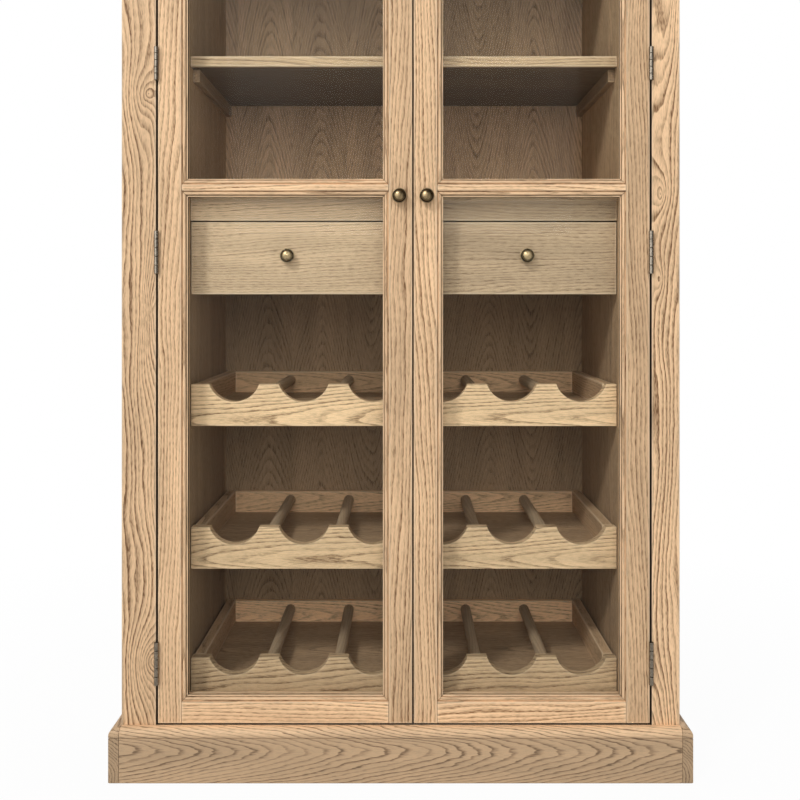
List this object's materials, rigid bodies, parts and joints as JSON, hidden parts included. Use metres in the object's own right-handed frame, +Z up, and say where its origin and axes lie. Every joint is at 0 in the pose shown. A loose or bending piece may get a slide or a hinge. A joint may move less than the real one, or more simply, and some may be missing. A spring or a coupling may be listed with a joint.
{
  "type": "wine cabinet",
  "caption": "Tall oak display cabinet with glazed doors, shelves, drawers behind the doors and scalloped racks for bottles, on a skirted plinth.",
  "frame": {"origin": "on the floor, under the middle of the cabinet's width and whole depth", "axes": "+X to the right as seen from the front, +Y to the back, +Z up; the doors face -Y"},
  "size_m": [0.9786, 0.414, 2.0698],
  "materials": {
    "oak_case": "light weathered oak, matt oiled",
    "oak_door": "light weathered oak, matt oiled",
    "oak_inside": "grey-brown stained oak, matt",
    "glass": "clear float glass",
    "aged_brass": "antique brass, cast and rubbed",
    "hinge_steel": "bronzed steel"
  },
  "bodies": {
    "case": {"side_panel_left": "oak_case", "side_panel_right": "oak_case", "face_frame": "oak_case", "top_board": "oak_case", "back_panel": "oak_inside", "floor_panel": "oak_inside", "plinth": "oak_case", "inner_side_left": "oak_inside", "inner_side_right": "oak_inside", "cleats_left": "oak_inside", "cleats_right": "oak_inside", "drawer_shelf": "oak_case", "drawer_divider": "oak_inside", "shelf_1": "oak_case", "shelf_2": "oak_case", "shelf_3": "oak_case", "rack_1_front": "oak_case", "rack_1_tray": "oak_inside", "rack_2_front": "oak_case", "rack_2_tray": "oak_inside", "rack_3_front": "oak_case", "rack_3_tray": "oak_inside", "hinge_left_bottom_case_leaf": "hinge_steel", "hinge_left_lower_case_leaf": "hinge_steel", "hinge_left_upper_case_leaf": "hinge_steel", "hinge_left_top_case_leaf": "hinge_steel", "hinge_right_bottom_case_leaf": "hinge_steel", "hinge_right_lower_case_leaf": "hinge_steel", "hinge_right_upper_case_leaf": "hinge_steel", "hinge_right_top_case_leaf": "hinge_steel"},
    "door_left": {"door_left_hinge_stile": "oak_door", "door_left_meeting_stile": "oak_door", "door_left_bottom_rail": "oak_door", "door_left_middle_rail": "oak_door", "door_left_top_rail": "oak_door", "door_left_lower_glass": "glass", "door_left_upper_glass": "glass", "door_left_knob": "aged_brass", "hinge_left_bottom_door_leaf": "hinge_steel", "hinge_left_lower_door_leaf": "hinge_steel", "hinge_left_upper_door_leaf": "hinge_steel", "hinge_left_top_door_leaf": "hinge_steel"},
    "door_right": {"door_right_hinge_stile": "oak_door", "door_right_meeting_stile": "oak_door", "door_right_bottom_rail": "oak_door", "door_right_middle_rail": "oak_door", "door_right_top_rail": "oak_door", "door_right_lower_glass": "glass", "door_right_upper_glass": "glass", "door_right_knob": "aged_brass", "hinge_right_bottom_door_leaf": "hinge_steel", "hinge_right_lower_door_leaf": "hinge_steel", "hinge_right_upper_door_leaf": "hinge_steel", "hinge_right_top_door_leaf": "hinge_steel"},
    "drawer_left": {"drawer_left_front": "oak_case", "drawer_left_box": "oak_inside", "drawer_left_knob": "aged_brass"},
    "drawer_right": {"drawer_right_front": "oak_case", "drawer_right_box": "oak_inside", "drawer_right_knob": "aged_brass"}
  },
  "joints": [
    {"name": "door_left_hinge", "type": "hinge", "parent": "case", "child": "door_left", "pos_m": [-0.40625, -0.1873, 1.0345], "axis": [0, 0, -1], "range_deg": [0, 170]},
    {"name": "door_right_hinge", "type": "hinge", "parent": "case", "child": "door_right", "pos_m": [0.41675, -0.1873, 1.0345], "axis": [0, 0, 1], "range_deg": [0, 170]},
    {"name": "drawer_left_slide", "type": "slide", "parent": "case", "child": "drawer_left", "axis": [0, -1, 0], "range_m": [0, 0.193]},
    {"name": "drawer_right_slide", "type": "slide", "parent": "case", "child": "drawer_right", "axis": [0, -1, 0], "range_m": [0, 0.193]}
  ],
  "couplings": [
    {"joint": "drawer_left_slide", "follows": "door_left_hinge", "m_per_rad": 0.065},
    {"joint": "drawer_right_slide", "follows": "door_right_hinge", "m_per_rad": 0.065}
  ]
}
